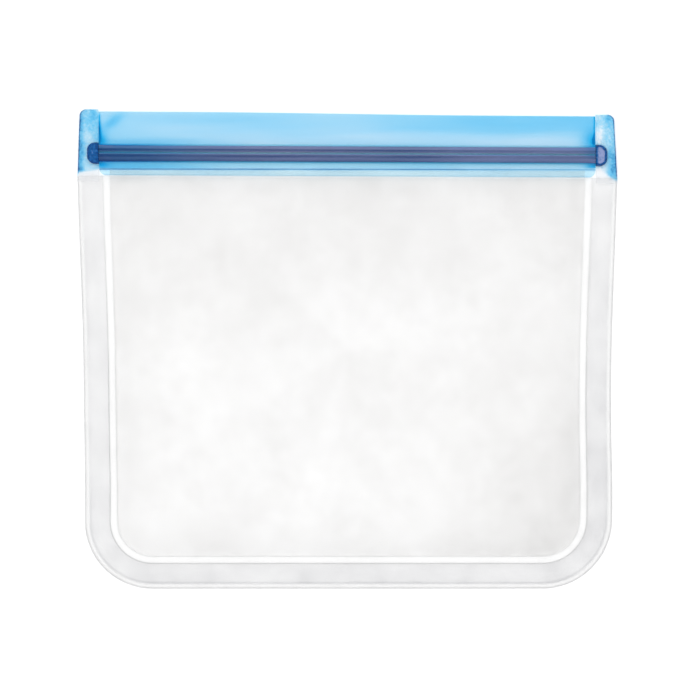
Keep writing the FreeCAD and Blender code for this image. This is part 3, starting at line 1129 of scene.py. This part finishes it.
def make_stop(name, side, material, dish, rim, middle):
    """The melted stop at one end of the zipper: a rounded D with a raised rim and a dished top.

    rim and middle are how deep the plastic looks there.
    """
    top, bottom = STOP_HIGH.z, STOP_LOW.z + CLEARANCE
    levels = (
        (0.5 * MM, bottom),
        (0.12 * MM, bottom + 0.3 * MM),
        (0.0, bottom + 0.8 * MM),
        (0.0, top - 0.9 * MM),
        (0.12 * MM, top - 0.4 * MM),
        (0.4 * MM, top - 0.08 * MM),
        (0.6 * MM, top),
        (0.85 * MM, top - 0.1 * MM),
        (1.1 * MM, top - dish),
        (1.7 * MM, top - dish),
        (2.3 * MM, top - 0.9 * dish),
        (3.0 * MM, top - 0.8 * dish),
    )
    vertices, plan, depth = [], [], []
    for inset, z in levels:
        ring_x, ring_y = stop_ring(inset)
        ragged = STOP_RAGGED * wave_noise(ring_x, ring_y, 1.6 * MM, 81)
        at_x, at_y = settle(side * ring_x, ring_y)
        vertices += list(zip(at_x, at_y, z - STOP_RAGGED + ragged))
        plan += list(zip(side * ring_x, ring_y))
        near_rim = 1.0 - smooth((inset - 0.7 * MM) / (0.4 * MM))
        by_zipper = bump((ring_x - STOP_LOW.x) / (0.5 * MM))
        depth += list(middle + (rim - middle) * np.maximum(near_rim, by_zipper))
    faces = tube_faces(len(levels), len(vertices) // len(levels), side < 0)
    return new_piece(name, vertices, faces, np.array(plan), np.array(depth), material, sharp=60.0)


# -------------------------------- assembly

def open_with(piece, lip):
    """Bakes the piece's placement into its mesh and reads out its vertex positions; lip is not used.
    """
    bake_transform(piece)
    count = len(piece.data.vertices)
    place = np.zeros(count * 3, np.float32)
    piece.data.vertices.foreach_get("co", place)
    place = place.reshape(-1, 3)
    return piece


def finish_piece(piece, slot, *nodes):
    """Hides these CAD nodes, which the piece stands in for; slot is not used."""
    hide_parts(*nodes)
    return piece


def build_bag():
    """Every piece of the bag."""
    wall, seam, bead = wall_material(), seam_material(), bead_material()
    header, tape, lap = header_material(), tape_material(), lap_material()
    tab, zipper, stop = tab_material(), zipper_material(), stop_material()

    for piece, lip, nodes in (
        (make_front_wall(wall), "front_lip", ("front_panel", "front_mouth_panel")),
        (make_back_wall(wall), "back_lip", ("back_panel", "back_mouth_panel")),
    ):
        open_with(piece, lip)
        finish_piece(piece, "wall_film", *nodes)

    for piece, slot in (
        (make_seam_flange(seam), "seam_film"),
        (make_inner_bead(bead), "weld_bead"),
        (make_outer_bead(bead), "weld_bead"),
        (make_tab("left_end_tab", -1, tab, LEFT_TAB_TOP, seed=90), "tab_film"),
        (make_tab("right_end_tab", 1, tab, RIGHT_TAB_TOP, seed=95), "tab_film"),
        (make_stop("left_zipper_stop", -1, stop, dish=0.15 * MM, rim=0.92, middle=0.74), "zipper_stop"),
        (make_stop("right_zipper_stop", 1, stop, dish=0.6 * MM, rim=0.95, middle=0.05), "zipper_stop"),
    ):
        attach(piece, "root")
        finish_piece(piece, slot, piece.name.removesuffix("_look"))

    front_pieces = (
        (make_front_header(header), "header_film"),
        (make_front_tape(tape), "zipper_tape"),
        (make_lap("front_lap_weld", lap, lip_height, FRONT_LAP_FILM), "lap_film"),
        (make_rail("lower_zipper_channel", LOWER_CHANNEL, channel_profile, zipper), "zipper_profile"),
        (make_rail("upper_zipper_channel", UPPER_CHANNEL, channel_profile, zipper), "zipper_profile"),
    )
    back_pieces = (
        (make_back_header(header), "header_film"),
        (make_back_tape(tape), "zipper_tape"),
        (make_lap("back_lap_weld", lap, back_lap_top, BACK_LAP_FILM), "lap_film"),
        (make_rail("lower_zipper_rib", LOWER_RIB, rib_profile, zipper), "zipper_profile"),
        (make_rail("upper_zipper_rib", UPPER_RIB, rib_profile, zipper), "zipper_profile"),
    )
    for lip, pieces in (("front_lip", front_pieces), ("back_lip", back_pieces)):
        for piece, slot in pieces:
            open_with(piece, lip)
            finish_piece(piece, slot, piece.name.removesuffix("_look"))


# -------------------------------- stage

VIEW_WIDTH = 263.2 * MM
VIEW_CENTRE = (1.1 * MM, -0.4 * MM)
CAMERA_HEIGHT = 1.6
SENSOR = 36.0


def make_camera():
    """Straight above the bag, with its header away from the viewer."""
    data = bpy.data.cameras.new("camera")
    data.sensor_width = SENSOR
    data.lens = SENSOR * CAMERA_HEIGHT / VIEW_WIDTH
    camera = bpy.data.objects.new("camera", data)
    camera.location = (*VIEW_CENTRE, CAMERA_HEIGHT)
    bpy.context.scene.collection.objects.link(camera)
    bpy.context.scene.camera = camera


def make_floor():
    """A wide bench that the bag lies on."""
    half = 3.0
    mesh = bpy.data.meshes.new("floor")
    corners = [(-half, -half, 0.0), (half, -half, 0.0), (half, half, 0.0), (-half, half, 0.0)]
    mesh.from_pydata(corners, [], [(0, 1, 2, 3)])
    mesh.materials.append(floor_material())
    floor = bpy.data.objects.new("floor", mesh)
    bpy.context.scene.collection.objects.link(floor)


def make_lights():
    """An even room, a little darker towards its walls, and one broad soft lamp overhead."""
    world = bpy.data.worlds.new("world")
    world.use_nodes = True
    tree = world.node_tree
    place = tree.nodes.new("ShaderNodeTexCoord")
    axes = tree.nodes.new("ShaderNodeSeparateXYZ")
    shade = tree.nodes.new("ShaderNodeMapRange")
    shade.inputs["From Min"].default_value = 0.0
    shade.inputs["From Max"].default_value = 0.8
    shade.inputs["To Min"].default_value = 0.47
    shade.inputs["To Max"].default_value = 0.665
    tree.links.new(place.outputs["Generated"], axes.inputs["Vector"])
    tree.links.new(axes.outputs["Z"], shade.inputs["Value"])
    tree.links.new(shade.outputs["Result"], tree.nodes["Background"].inputs["Strength"])
    tree.nodes["Background"].inputs["Color"].default_value = (1.0, 1.0, 1.0, 1.0)
    bpy.context.scene.world = world
    lamp = bpy.data.lights.new("key", "SUN")
    lamp.energy = 2.08
    lamp.angle = math.radians(50)
    key = bpy.data.objects.new("key", lamp)
    key.rotation_euler = (math.radians(-4), math.radians(-6), 0.0)
    key.visible_glossy = False
    bpy.context.scene.collection.objects.link(key)


def set_view():
    """Plain colours, and room for light through many thin layers."""
    scene = bpy.context.scene
    scene.view_settings.view_transform = "Standard"
    scene.cycles.transparent_max_bounces = 48
    scene.cycles.max_bounces = 16


make_camera()
make_floor()
make_lights()
set_view()
build_bag()
